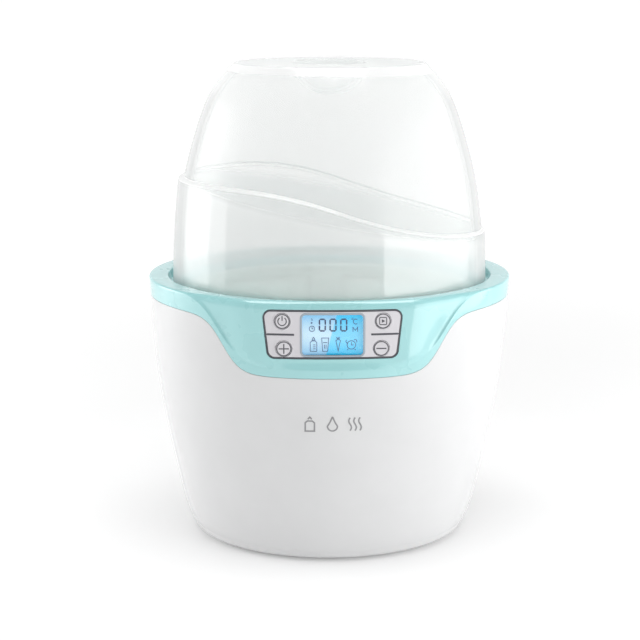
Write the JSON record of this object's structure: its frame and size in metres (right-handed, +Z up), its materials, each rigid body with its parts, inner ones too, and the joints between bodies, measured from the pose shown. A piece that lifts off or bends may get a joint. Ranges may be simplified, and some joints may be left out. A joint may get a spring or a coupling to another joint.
{
  "type": "bottle sterilizer",
  "caption": "Electric steam sterilizer for baby bottles: tapered oval base with a front display panel and press buttons, lift-out rack and clear domed lid with an S-shaped shoulder.",
  "frame": {"origin": "on the floor under the middle of the oval base", "axes": "+Z up, front with the control panel towards -Y, +X to the right of someone facing the panel"},
  "size_m": [0.2004, 0.1488, 0.265],
  "materials": {
    "white_shell": "satin white moulding",
    "teal_shell": "satin mint-green moulding",
    "base_plastic": "plain white underside",
    "clear_dome": "clear glossy moulding",
    "rack_plastic": "milky white moulding",
    "tub_metal": "coated pressed aluminium",
    "seal_silicone": "soft matt silicone",
    "foot_rubber": "pale grey rubber",
    "screw_steel": "zinc plated",
    "cast_aluminium": "as cast",
    "element_steel": "dull tube",
    "sensor_copper": "plain metal",
    "component_dark": "dark moulded parts",
    "component_blue": "blue relay case",
    "component_yellow": "wound transformer tape",
    "component_green": "green terminal moulding",
    "board_green": "solder-masked laminate",
    "lead_brown": "brown lead cover",
    "lead_blue": "blue lead cover",
    "ribbon_grey": "grey flat cable",
    "panel_grey": "light grey satin plate",
    "trim_dark": "dark grey outline",
    "window_clear": "clear lens",
    "lcd_blue": "lit blue display",
    "backlight_white": "light guide",
    "gland_grey": "grey bushing"
  },
  "bodies": {
    "base": {"housing": "white_shell", "collar": "teal_shell", "base_plate": "base_plastic", "foot_1": "foot_rubber", "foot_2": "foot_rubber", "foot_3": "foot_rubber", "foot_4": "foot_rubber", "base_screw_1": "screw_steel", "base_screw_2": "screw_steel", "base_screw_3": "screw_steel", "base_screw_4": "screw_steel", "cord_gland": "gland_grey", "heating_tub": "tub_metal", "tub_seal": "seal_silicone", "heater_plate": "cast_aluminium", "heating_element": "element_steel", "thermostat": "component_dark", "thermal_fuse": "screw_steel", "temperature_sensor": "sensor_copper", "power_board": "board_green", "transformer": "component_yellow", "relay": "component_blue", "capacitor": "component_dark", "terminal_block": "component_green", "live_lead": "lead_brown", "neutral_lead": "lead_blue", "ribbon_cable": "ribbon_grey", "control_board": "board_green", "power_switch": "component_dark", "mode_switch": "component_dark", "plus_switch": "component_dark", "minus_switch": "component_dark", "panel_plate": "panel_grey", "panel_trim": "trim_dark", "display_window": "window_clear", "lcd_glass": "lcd_blue", "backlight": "backlight_white"},
    "power_button": {"power_button": "panel_grey"},
    "mode_button": {"mode_button": "panel_grey"},
    "plus_button": {"plus_button": "panel_grey"},
    "minus_button": {"minus_button": "panel_grey"},
    "steam_dome": {"steam_dome": "clear_dome"},
    "bottle_basket": {"bottle_basket": "rack_plastic"}
  },
  "joints": [
    {"name": "power_press", "type": "slide", "parent": "base", "child": "power_button", "axis": [0, 0.999, -0.0436], "range_m": [0, 0.0005], "stiffness_N_per_m": 2000},
    {"name": "mode_press", "type": "slide", "parent": "base", "child": "mode_button", "axis": [0, 0.999, -0.0436], "range_m": [0, 0.0005], "stiffness_N_per_m": 2000},
    {"name": "plus_press", "type": "slide", "parent": "base", "child": "plus_button", "axis": [0, 0.999, -0.0436], "range_m": [0, 0.0005], "stiffness_N_per_m": 2000},
    {"name": "minus_press", "type": "slide", "parent": "base", "child": "minus_button", "axis": [0, 0.999, -0.0436], "range_m": [0, 0.0005], "stiffness_N_per_m": 2000},
    {"name": "dome_lift", "type": "slide", "parent": "base", "child": "steam_dome", "axis": [0, 0, 1], "range_m": [0, 0.12]},
    {"name": "basket_lift", "type": "slide", "parent": "base", "child": "bottle_basket", "axis": [0, 0, 1], "range_m": [0, 0.03]}
  ]
}
